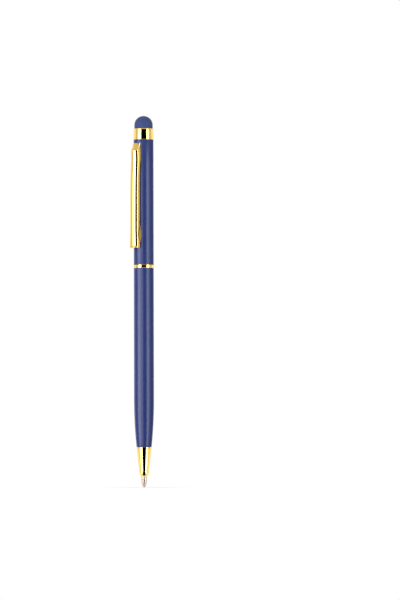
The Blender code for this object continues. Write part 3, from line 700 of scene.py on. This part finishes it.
class Field:
    """A socket of a node tree, with Python's operators for values."""

    def __init__(self, tree, socket=None):
        self.tree, self.socket = tree, socket

    def node(self, kind, settings=None, sockets=None, output=0):
        """Adds a node: its type, its settings, then the values or links of its sockets."""
        made = self.tree.nodes.new(kind)
        for key, value in (settings or {}).items():
            setattr(made, key, value)
        for key, value in (sockets or {}).items():
            if isinstance(value, Field):
                self.tree.links.new(value.socket, made.inputs[key])
            else:
                made.inputs[key].default_value = value
        return Field(self.tree, made.outputs[output] if made.outputs else None)

    def math(self, operation, *values):
        return self.node("ShaderNodeMath", {"operation": operation}, dict(enumerate(values)))

    def __add__(self, other):
        return self.math("ADD", self, other)

    def __sub__(self, other):
        return self.math("SUBTRACT", self, other)

    def __rsub__(self, other):
        return self.math("SUBTRACT", other, self)

    def __mul__(self, other):
        return self.math("MULTIPLY", self, other)

    def __truediv__(self, other):
        return self.math("DIVIDE", self, other)

    def __rtruediv__(self, other):
        return self.math("DIVIDE", other, self)

    __radd__ = __add__
    __rmul__ = __mul__

    def size(self):
        """The value without its sign."""
        return self.math("ABSOLUTE", self)

    def ramp(self, low, high):
        """0 below low, 1 above high, and smooth between."""
        return self.node("ShaderNodeMapRange", {"interpolation_type": "SMOOTHSTEP"},
                         {"Value": self, "From Min": low, "From Max": high})

    def blend(self, a, b):
        """Colour a where this is 0 and b where it is 1."""
        return self.node("ShaderNodeMix", {"data_type": "RGBA"}, {0: self, 6: a, 7: b}, output=2)

    def part(self, axis):
        """One coordinate of a vector: 0, 1 or 2."""
        return self.node("ShaderNodeSeparateXYZ", {}, {0: self}, output=axis)

    def vector(self, operation, *others, output=0):
        """Vector maths on this vector and others."""
        sockets = dict(enumerate((self, *others)))
        return self.node("ShaderNodeVectorMath", {"operation": operation}, sockets, output)

    def scaled(self, factors):
        return self.vector("MULTIPLY", factors)

    def along(self, way):
        """How far this vector reaches along a way."""
        return self.vector("DOT_PRODUCT", way, output="Value")

    def noise(self, scale, detail=2.0, roughness=0.5):
        """Cloudy noise at this place, with features of about 1 / scale metres."""
        return self.node("ShaderNodeTexNoise", {},
                         {"Vector": self, "Scale": scale, "Detail": detail, "Roughness": roughness})

    def bump(self, strength, distance):
        """A normal from this height."""
        return self.node("ShaderNodeBump", {},
                         {"Height": self, "Strength": strength, "Distance": distance})

    def mixed(self, a, b):
        """Shader a where this is 0 and b where it is 1."""
        return self.node("ShaderNodeMixShader", {}, {0: self, 1: a, 2: b})


def cleared(owner):
    """Empties the node tree of a material or a world, and gives a Field to add nodes with."""
    owner.use_nodes = True
    owner.node_tree.nodes.clear()
    return Field(owner.node_tree)


# %% [markdown]
# ## One function for every finish
# A finish starts from the piece's own coordinates and ends in a Principled shader. What lies between is
# the recipe, a function that each material below writes for itself. Satin lacquer loses its gloss where
# it turns away from the eye, which a plain Principled shader doesn't show, so a second one without
# gloss is mixed in.

# %% From a recipe to a material
SLANT_STARTS, SLANT_FULL = 0.2, 0.42


def finish(name, recipe, dull_edges=0.0):
    """A material whose recipe takes the object's coordinates and gives the Principled shader's sockets.

    Dull edges take that share of the gloss away where the surface turns from the eye.
    """
    material = bpy.data.materials.new(name)
    start = cleared(material)
    sockets = recipe(start.node("ShaderNodeTexCoord", output="Object"))
    shader = start.node("ShaderNodeBsdfPrincipled", {}, sockets)
    if dull_edges:
        matt = start.node("ShaderNodeBsdfPrincipled", {}, {**sockets, "Specular IOR Level": 0.0})
        slant = start.node("ShaderNodeLayerWeight", {}, {"Blend": 0.5}, output="Facing")
        shader = (slant.ramp(SLANT_STARTS, SLANT_FULL) * dull_edges).mixed(shader, matt)
    start.node("ShaderNodeOutputMaterial", {}, {"Surface": shader})
    print("finish", name, len(start.tree.nodes), "nodes")
    return material


def colour(red, green, blue):
    """An opaque colour in linear light."""
    return (red, green, blue, 1.0)


# %% [markdown]
# ## Blue lacquer
# Stoved lacquer over metal, between satin and gloss. Seen close it is not even: the film has a faint
# orange peel, the pigment drifts a little in depth, handling has left hairlines along the tube, and the
# film is thin and paler at the ends of the tubes. Roughness carries most of it, because gloss shows
# first.

# %% Blue lacquer
DEEP_BLUE, FULL_BLUE = colour(0.018, 0.032, 0.146), colour(0.027, 0.044, 0.190)
THIN_BLUE = colour(0.12, 0.16, 0.34)
LACQUER_DULL = 0.6
LACQUER_THINS = 0.35 * MM
HAIRLINES_FROM, HAIRLINES_FULL = 0.7, 0.76


def rubbed(height, edges, reach):
    """1 at the height of any of these edges, fading out over the reach."""
    found = 0.0
    for edge in edges:
        found = found + (1 - ((height - edge).size() / reach).ramp(0.0, 1.0))
    return found


def lacquer(ends):
    """Recipe for a tube whose film is thin at these heights."""
    def recipe(place):
        height = place.part(2)
        drift = place.noise(160, 3.0)
        flake = place.noise(9000, 1.0)
        worn = rubbed(height, ends, LACQUER_THINS) * place.noise(1500, 2.0).ramp(0.35, 0.65)
        scratches = place.scaled((1.0, 1.0, 0.02)).noise(5200, 1.0)
        lines = scratches.ramp(HAIRLINES_FROM, HAIRLINES_FULL)
        film = (drift * 0.6 + flake * 0.4).blend(DEEP_BLUE, FULL_BLUE)
        return {
            "Base Color": (worn * 0.45).blend(film, THIN_BLUE),
            "Roughness": 0.215 + 0.05 * drift + 0.06 * lines + 0.1 * worn,
            "IOR": 1.42,
            "Normal": (place.noise(1300, 2.0) + lines * -0.12).bump(0.35, 0.004 * MM),
        }
    return recipe


lower_lacquer = finish("lower_lacquer", lacquer((lower_foot, lower_top)), LACQUER_DULL)
upper_lacquer = finish("upper_lacquer", lacquer((upper_foot, upper_top)), LACQUER_DULL)

# %% [markdown]
# ## Gold plating
# A thin bright plating on polished brass. On turned pieces the polishing has left rings so fine that
# they only blur the reflection, and on the clip they run lengthwise. Fingers leave a faint haze, and
# edges are rubbed down to the paler metal below.

# %% Gold plating
GOLD, PALE_GOLD = colour(0.98, 0.645, 0.165), colour(0.96, 0.72, 0.32)
EDGE_WEAR = 0.16 * MM
# Noise lines for each metre along X, Y and Z.
RINGS, LENGTHWISE = (500, 500, 26000), (14000, 14000, 160)


def plating(edges, polish):
    """Recipe for a piece with edges at these heights and polishing lines that run one way."""
    def recipe(place):
        height = place.part(2)
        haze = place.noise(420, 3.0)
        grain = place.scaled(polish).noise(1.0, 2.0)
        worn = rubbed(height, edges, EDGE_WEAR) * place.noise(2600, 2.0).ramp(0.4, 0.7)
        shine = 0.035 + 0.04 * haze.ramp(0.45, 0.75)
        return {
            "Base Color": (worn * 0.5 + haze * 0.12).blend(GOLD, PALE_GOLD),
            "Metallic": 1.0,
            "Roughness": shine + 0.03 * grain.ramp(0.5, 0.9) + 0.08 * worn,
            "Normal": grain.bump(0.1, 0.001 * MM),
        }
    return recipe


nose_gold = finish("nose_gold", plating((mouth, nose_top), RINGS))
band_gold = finish("band_gold", plating((band_foot, band_top), RINGS))
ferrule_gold = finish("ferrule_gold", plating((collar_foot, ferrule_top), RINGS))
clip_gold = finish("clip_gold", plating((toe_top, clip_end), LENGTHWISE))

# %% [markdown]
# ## Stylus rubber
# Matte silicone, loaded with carbon so that a screen feels it. It has a fine moulded grain, a dusty
# bloom that lightens it in patches, and a rubbed and slightly glossier spot on the crown, where it
# meets the glass.

# %% Stylus rubber
RUBBER, BLOOMED = colour(0.040, 0.064, 0.205), colour(0.054, 0.082, 0.245)
DUST = colour(0.20, 0.24, 0.36)
USED_CROWN = 0.9 * MM


def rubber(place):
    """Recipe for the dome."""
    height = place.part(2)
    bloom = place.noise(700, 3.0)
    grain = place.noise(11000, 2.0)
    dust = place.noise(5200, 0.0).ramp(0.7, 0.78)
    used = height.ramp(dome_top - USED_CROWN, dome_top)
    skin = (bloom * 0.7).blend(RUBBER, BLOOMED)
    return {
        "Base Color": (dust * 0.35 + used * 0.12).blend(skin, DUST),
        "Roughness": 0.68 + 0.12 * bloom - 0.14 * used,
        "Specular IOR Level": 0.35,
        "Sheen Weight": 0.12,
        "Sheen Roughness": 0.5,
        "Normal": (grain + bloom * 0.5).bump(0.5, 0.012 * MM),
    }


stylus_rubber = finish("stylus_rubber", rubber)

# %% [markdown]
# ## Metals of the point and of the mechanism
# One recipe makes the turned and drawn metals: a base colour that tarnishes in patches, tool rings
# across the axis or draw lines along it, and a roughness that follows both. The point also has a trace
# of ink.

# %% Bare metals
WET_INK = colour(0.01, 0.014, 0.06)
INK_FADE, LIP_INK = 0.25 * MM, 0.2 * MM
ALL_WAYS = (900, 900, 900)


def bare_metal(base, tarnish, rough, polish, ink_below=None):
    """Recipe for a metal, its tarnish and its tool marks, with ink below a height."""
    def recipe(place):
        patch = place.noise(900, 4.0)
        marks = place.scaled(polish).noise(1.0, 2.0)
        tone = patch.ramp(0.45, 0.8).blend(base, tarnish)
        if ink_below is not None:
            wet = (1 - place.part(2).ramp(ink_below - INK_FADE, ink_below)) * patch.ramp(0.4, 0.62)
            tone = (wet * 0.55).blend(tone, WET_INK)
        return {
            "Base Color": tone,
            "Metallic": 1.0,
            "Roughness": rough + 0.1 * patch + 0.12 * marks.ramp(0.4, 0.8),
            "Normal": marks.bump(0.3, 0.004 * MM),
        }
    return recipe


nickel = finish("point_nickel", bare_metal(
    colour(0.60, 0.50, 0.40), colour(0.46, 0.37, 0.28), 0.26, RINGS, ink_below=tip_foot + LIP_INK))
ball_metal = finish("ball_metal", bare_metal(
    colour(0.45, 0.44, 0.43), colour(0.30, 0.29, 0.30), 0.06, ALL_WAYS, ink_below=ball_level))
mechanism_brass = finish("mechanism_brass", bare_metal(
    colour(0.72, 0.50, 0.20), colour(0.50, 0.33, 0.13), 0.2, RINGS))
mechanism_steel = finish("mechanism_steel", bare_metal(
    colour(0.58, 0.58, 0.59), colour(0.42, 0.41, 0.40), 0.18, LENGTHWISE))

# %% [markdown]
# ## Plastics and ink inside
# Four of the hidden pieces are moulded, so they have a spark-eroded grain and a slight flow pattern.
# The ink is a thick paste that has dragged unevenly along the tube, and the same recipe does for it.
# Flat colours would look unfinished wherever a pose or a cut shows the inside.

# %% Plastics and ink


def moulded(base, streak, rough):
    """Recipe for a moulding with streaks of a second colour where it flowed."""
    def recipe(place):
        flow = place.scaled((1.0, 1.0, 0.25)).noise(600, 3.0)
        grain = place.noise(9000, 2.0)
        return {
            "Base Color": flow.ramp(0.35, 0.75).blend(base, streak),
            "Roughness": rough + 0.12 * grain,
            "Normal": grain.bump(0.4, 0.006 * MM),
        }
    return recipe


white_moulding = finish("white_moulding", moulded(
    colour(0.80, 0.79, 0.75), colour(0.72, 0.71, 0.66), 0.4))
black_moulding = finish("black_moulding", moulded(
    colour(0.012, 0.012, 0.013), colour(0.02, 0.02, 0.022), 0.42))
ink_paste = finish("ink_paste", moulded(
    colour(0.008, 0.012, 0.10), colour(0.014, 0.02, 0.16), 0.25))

# %% [markdown]
# ## Putting the pieces on the frame
# Each new piece replaces its CAD node, which it hides, and rides on that node's body. The nodes
# inside keep their shape and only change their material.

# %% Ride, replace and paint
dressed = [
    (lower_tube, "lower_barrel", "lower_half", "blue_lacquer", lower_lacquer),
    (nose, "nose_cone", "lower_half", "gold_plate", nose_gold),
    (band, "centre_band", "lower_half", "gold_plate", band_gold),
    (upper_tube, "upper_barrel", "upper_half", "blue_lacquer", upper_lacquer),
    (ferrule, "ferrule", "upper_half", "gold_plate", ferrule_gold),
    (dome, "stylus_dome", "upper_half", "blue_rubber", stylus_rubber),
    (clip, "clip", "clip", "gold_plate", clip_gold),
    (point, "refill_tip", "refill", "nickel_silver", nickel),
    (ball, "writing_ball", "refill", "steel", ball_metal),
]
for piece, node, body, slot, material in dressed:
    piece.data.materials.clear()
    piece.data.materials.append(material)
    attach(piece, body)
    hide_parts(node)

repainted = {
    "guide_sleeve": mechanism_brass, "helix_sleeve": mechanism_brass, "dome_core": mechanism_brass,
    "retaining_ring": mechanism_steel, "drive_pin": mechanism_steel, "refill_tube": mechanism_steel,
    "drive_collar": white_moulding, "refill_carrier": white_moulding,
    "clip_lock": black_moulding, "refill_plug": black_moulding, "ink_column": ink_paste,
}
for node, material in repainted.items():
    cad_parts[node].material_slots[0].material = material
print(len(dressed), "pieces modelled,", len(repainted), "nodes repainted")

# %% [markdown]
# ## Camera
# The picture was taken with a long lens from the height of the nose, with the clip turned to the left.
# The pen stands left of the picture's middle, so the camera looks at a point beside it.

# %% Camera
AZIMUTH = math.radians(43.0)
DISTANCE = 1.2
EYE_HEIGHT = point_end + 10 * MM
PICTURE_TALL = 600
MM_PER_PIXEL = 0.3655
PEN_LEFT_OF_MIDDLE = 56.15
MIDDLE_ABOVE_POINT = 187.0
SENSOR, NEAREST = 36.0, 0.05
CAMERA_ROLL = math.radians(-0.15)

toward = Vector((math.sin(AZIMUTH), -math.cos(AZIMUTH), 0))
across = Vector((math.cos(AZIMUTH), math.sin(AZIMUTH), 0))
aside = across * (PEN_LEFT_OF_MIDDLE * MM_PER_PIXEL * MM)
target = aside + Vector((0, 0, point_end + MIDDLE_ABOVE_POINT * MM_PER_PIXEL * MM))
eye = aside + toward * DISTANCE + Vector((0, 0, EYE_HEIGHT))
bpy.ops.object.camera_add(location=eye)
camera = bpy.context.object
camera.rotation_euler = (eye - target).to_track_quat("Z", "Y").to_euler()
camera.rotation_euler.rotate_axis("Z", CAMERA_ROLL)
camera.data.sensor_width = SENSOR
camera.data.lens = SENSOR * (eye - target).length / (PICTURE_TALL * MM_PER_PIXEL * MM)
camera.data.clip_start = NEAREST
bpy.context.scene.camera = camera
print("lens", round(camera.data.lens, 1), "mm")

# %% [markdown]
# ## Floor
# A pale floor under the point. The camera sees it as white, apart from a small spot round the point,
# where it keeps the pen's soft shadow. Mirrors don't see it, so that the gold reflects the studio's
# walls all the way down.

# %% Floor
FLOOR_SIZE, FLOOR_GAP = 8, 0.02 * MM
SHADOW_FULL, SHADOW_ENDS = 2 * MM, 22 * MM
SHADOW_GLOW = 0.4
WHITE = colour(1, 1, 1)
FLAT = (1, 1, 0)

floor = added("floor", bpy.ops.mesh.primitive_plane_add, size=FLOOR_SIZE,
              location=(0, 0, point_end - FLOOR_GAP))
paper = bpy.data.materials.new("floor_paper")
sheet = cleared(paper)
spot = sheet.node("ShaderNodeTexCoord", output="Object")
tone = spot.noise(900, 2.0).blend(colour(0.84, 0.84, 0.84), colour(0.87, 0.87, 0.87))
lit = sheet.node("ShaderNodeBsdfDiffuse", {}, {"Color": tone})
white = sheet.node("ShaderNodeEmission", {}, {"Color": WHITE, "Strength": 1.0})
glow = sheet.node("ShaderNodeEmission", {}, {"Color": WHITE, "Strength": SHADOW_GLOW})
shaded = sheet.node("ShaderNodeAddShader", {}, {0: lit, 1: glow})
away = spot.scaled(FLAT).vector("LENGTH", output="Value")
seen = away.ramp(SHADOW_FULL, SHADOW_ENDS).mixed(shaded, white)
surface = sheet.node("ShaderNodeLightPath", output="Is Camera Ray").mixed(lit, seen)
sheet.node("ShaderNodeOutputMaterial", {}, {"Surface": surface})
floor.data.materials.append(paper)
floor.visible_glossy = False
floor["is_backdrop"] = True
bpy.context.scene.view_settings.view_transform = "Standard"
print("floor", FLOOR_SIZE, "m wide,", FLOOR_GAP / MM, "mm below the point")

# %% [markdown]
# ## Light
# Tall softboxes stand left and right of the camera, and make the two bright streaks down the barrel.
# Satin lacquer and polished metal want different lamps: wide ones with weak edges, and narrow crisp
# ones. A photographer would use black cards to keep each lamp where it belongs. Here light linking does
# that. The lacquered tubes have six lamps: two streaks, the spill beside each and two weak rims from
# behind. The clip has a pair of its own, because its crown is flatter than a tube and spreads a lamp
# wider. All other pieces share a third pair, and two weak lamps lift only the outermost edges of the
# turned gold.

# %% Softboxes
LAMP_DISTANCE, LAMP_HEIGHT = 0.6, 0.5
LAMP_MIDDLE = point_end + 110 * MM


def group(name, members):
    """A collection that a lamp can be limited to."""
    made = bpy.data.collections.new(name)
    for member in members:
        made.objects.link(member)
    return made


def softbox(name, inner, outer, radiance, receivers):
    """A tall lamp between two angles from the camera's direction, in degrees, negative to the left."""
    middle = math.radians((inner + outer) / 2)
    out = toward * math.cos(middle) + across * math.sin(middle)
    width = 2 * LAMP_DISTANCE * math.tan(math.radians(abs(outer - inner)) / 2)
    place = out * LAMP_DISTANCE + Vector((0, 0, LAMP_MIDDLE))
    bpy.ops.object.light_add(type="AREA", location=place)
    lamp = bpy.context.object
    lamp.name = name
    lamp.rotation_euler = out.to_track_quat("Z", "Y").to_euler()
    lamp.data.shape = "RECTANGLE"
    lamp.data.size, lamp.data.size_y = width, LAMP_HEIGHT
    lamp.data.energy = radiance * math.pi * width * LAMP_HEIGHT
    lamp.visible_camera = False
    lamp.light_linking.receiver_collection = receivers
    print(name, "width", round(width, 3), "energy", round(lamp.data.energy, 2))


tubes = (lower_tube, upper_tube)
lacquered = group("lacquered", tubes)
clip_alone = group("clip_alone", [clip])
turned_gold = group("turned_gold", [ferrule, band, nose])
others = group("others", [thing for thing in bpy.context.scene.objects
                          if thing.type == "MESH" and thing not in (*tubes, clip)])
softbox("left_metal", -29.5, -64, 5.0, others)
softbox("right_metal", 36, 62, 4.6, others)
softbox("left_edge", -104, -132, 0.32, turned_gold)
softbox("right_edge", 104, 132, 0.32, turned_gold)
softbox("left_of_clip", -31, -75, 5.0, clip_alone)
softbox("right_of_clip", 43, 58, 4.6, clip_alone)
softbox("left_streak", -38, -73, 5.0, lacquered)
softbox("left_spill", -10, -36, 2.9, lacquered)
softbox("right_streak", 33, 58, 4.2, lacquered)
softbox("right_spill", 58, 72, 1.8, lacquered)
softbox("left_rim", -118, -160, 1.7, lacquered)
softbox("right_rim", 150, 176, 2.0, lacquered)

# %% [markdown]
# ## Studio walls
# The rest of the light comes from the world, and Light Path tells who is asking. The camera sees plain
# white. Mirrors see pale walls: whiter behind the pen than on the camera's side, brighter below, and
# dark round the camera, which puts the dark stripe down the middle of the gold. Matte surfaces get a
# weak light from all round, a little stronger from the left, so that the softboxes do most of the work.

# %% Studio walls
FAR_WALL, NEAR_WALL_LESS, FROM_BELOW = 0.96, 0.24, 0.45
DARK_WITHIN, DARK_ENDS = 34, 37
DARK_HEIGHT, DARK_TOP = 0.34, 0.48
NEAR_WALL, NEAR_WALL_ENDS = 102, 110
BELOW_STARTS, BELOW_FULL = 0.1, 0.18
MATTE_LIGHT, RIGHT_LESS = 0.30, 0.10

world = bpy.data.worlds.new("studio")
bpy.context.scene.world = world
air = cleared(world)
direction = air.node("ShaderNodeTexCoord", output="Generated")
height = direction.part(2)
flat = direction.scaled(FLAT).vector("NORMALIZE")


def around_camera(within, ends):
    """1 within one angle of the camera's direction, seen from above, and 0 outside another."""
    return flat.along(toward).ramp(math.cos(math.radians(ends)), math.cos(math.radians(within)))


dark = around_camera(DARK_WITHIN, DARK_ENDS) * (1 - height.size().ramp(DARK_HEIGHT, DARK_TOP))
near = around_camera(NEAR_WALL, NEAR_WALL_ENDS)
below = (0 - height).ramp(BELOW_STARTS, BELOW_FULL)
walls = (FAR_WALL - NEAR_WALL_LESS * near) * (1 + FROM_BELOW * below) * (1 - dark)
ray = {name: air.node("ShaderNodeLightPath", output=name)
       for name in ("Is Camera Ray", "Is Glossy Ray", "Is Transmission Ray")}
mirrored = ray["Is Glossy Ray"] + ray["Is Transmission Ray"]
matte = 1 - ray["Is Camera Ray"] - mirrored
soft = MATTE_LIGHT - RIGHT_LESS * flat.along(across)
strength = ray["Is Camera Ray"] + mirrored * walls + matte * soft
sky = air.node("ShaderNodeBackground", {}, {"Color": WHITE, "Strength": strength})
air.node("ShaderNodeOutputWorld", {}, {"Surface": sky})
print("studio walls", len(world.node_tree.nodes), "nodes")

# %% [markdown]
# ## The size at the end
# The dressed pen has to stay in the CAD model's box. Its box is printed here, as the CAD box was at the
# start.

# %% Sizes and finish
new_low, new_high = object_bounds()
print("visual box in mm:", sizes(new_low, new_high))
